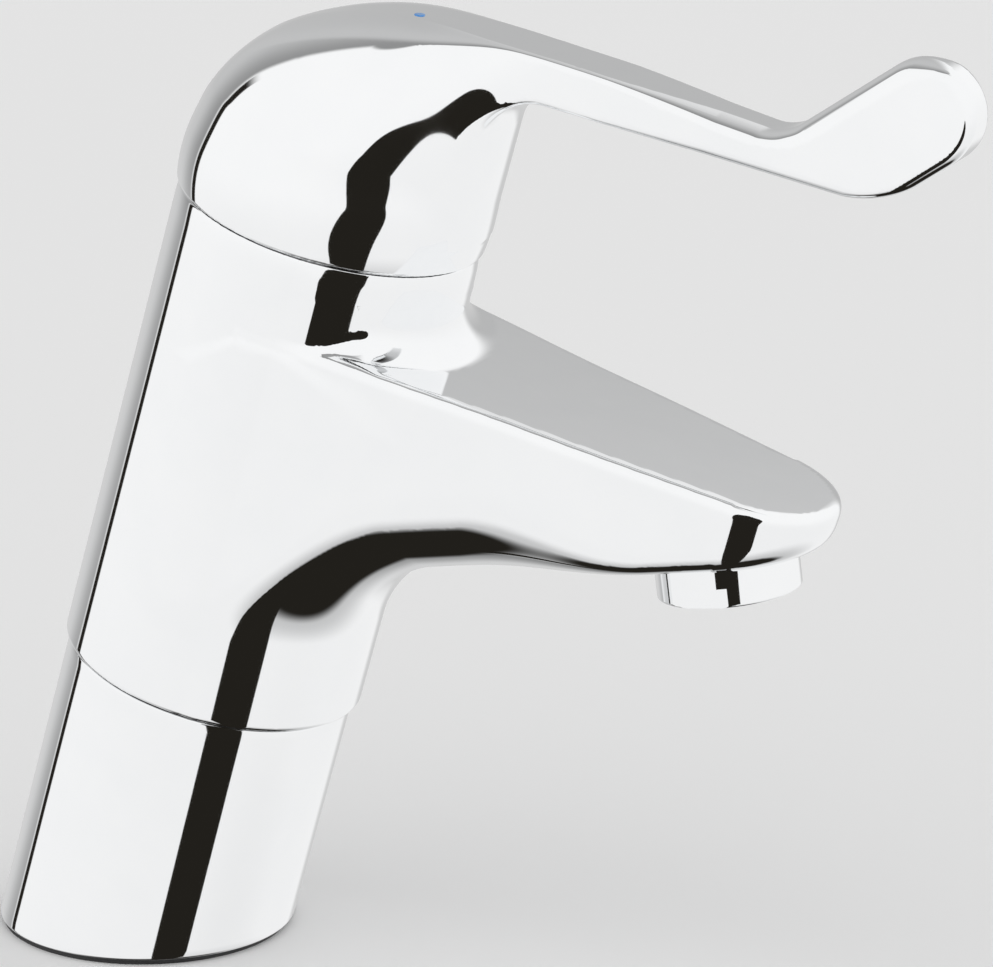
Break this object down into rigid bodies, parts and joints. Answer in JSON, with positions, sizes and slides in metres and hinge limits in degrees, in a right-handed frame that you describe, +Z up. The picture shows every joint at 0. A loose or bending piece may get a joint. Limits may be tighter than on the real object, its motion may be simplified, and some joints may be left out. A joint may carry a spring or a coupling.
{
  "type": "elbow lever tap",
  "caption": "Leaning single-lever basin tap on a raised pedestal, with a long elbow lever, a tapered spout, an aerator and a ceramic disc cartridge that opens and turns.",
  "frame": {"origin": "centre of the oval base on the deck, at the underside of the deck gasket", "axes": "+Z up from the deck, +X towards the spout's mouth, +Y to the user's right-hand side facing the tap's back; the pedestal and body lean 15.9 degrees towards +X"},
  "size_m": [0.1869, 0.0566, 0.1756],
  "materials": {
    "chrome": "bright chrome plate on cast brass and zinc",
    "brass": "turned brass",
    "steel": "stainless steel",
    "rubber": "matt black rubber",
    "moulding": "moulded pale grey plastic",
    "limiter": "moulded red plastic",
    "ceramic": "lapped alumina ceramic",
    "blue_enamel": "blue enamel fill"
  },
  "bodies": {
    "root": {"base_gasket": "rubber", "pedestal": "chrome", "pedestal_gasket": "rubber", "pedestal_screws": "steel", "body_casting": "chrome", "aerator_housing": "chrome", "aerator_insert": "moulding", "aerator_screen": "steel", "aerator_gasket": "rubber", "cartridge_base": "moulding", "port_seals": "rubber", "cartridge_o_ring": "rubber", "fixed_disc": "ceramic", "cartridge_housing": "moulding", "limiter_ring": "limiter", "retaining_nut": "brass", "cover_cap": "chrome"},
    "rotor": {"cartridge_rotor": "moulding", "rotor_glide_ring": "moulding", "stem_pin": "steel"},
    "discs": {"moving_disc": "ceramic", "disc_carrier": "moulding"},
    "handle": {"lever_stem": "brass", "lever_handle": "chrome", "handle_grub_screw": "steel", "handle_plug": "chrome", "cold_mark": "blue_enamel"}
  },
  "joints": [
    {"name": "temperature_turn", "type": "hinge", "parent": "root", "child": "rotor", "pos_m": [0.03767, 0, 0.13224], "axis": [0.274, 0, 0.9617], "range_deg": [-45, 45]},
    {"name": "lever_lift", "type": "hinge", "parent": "rotor", "child": "handle", "pos_m": [0.03767, 0, 0.13224], "axis": [0, -1, 0], "range_deg": [0, 25]},
    {"name": "disc_slide", "type": "slide", "parent": "rotor", "child": "discs", "axis": [0.9617, 0, -0.274], "range_m": [0, 0.00434]}
  ],
  "couplings": [
    {"joint": "disc_slide", "follows": "lever_lift", "m_per_rad": 0.0099209}
  ]
}
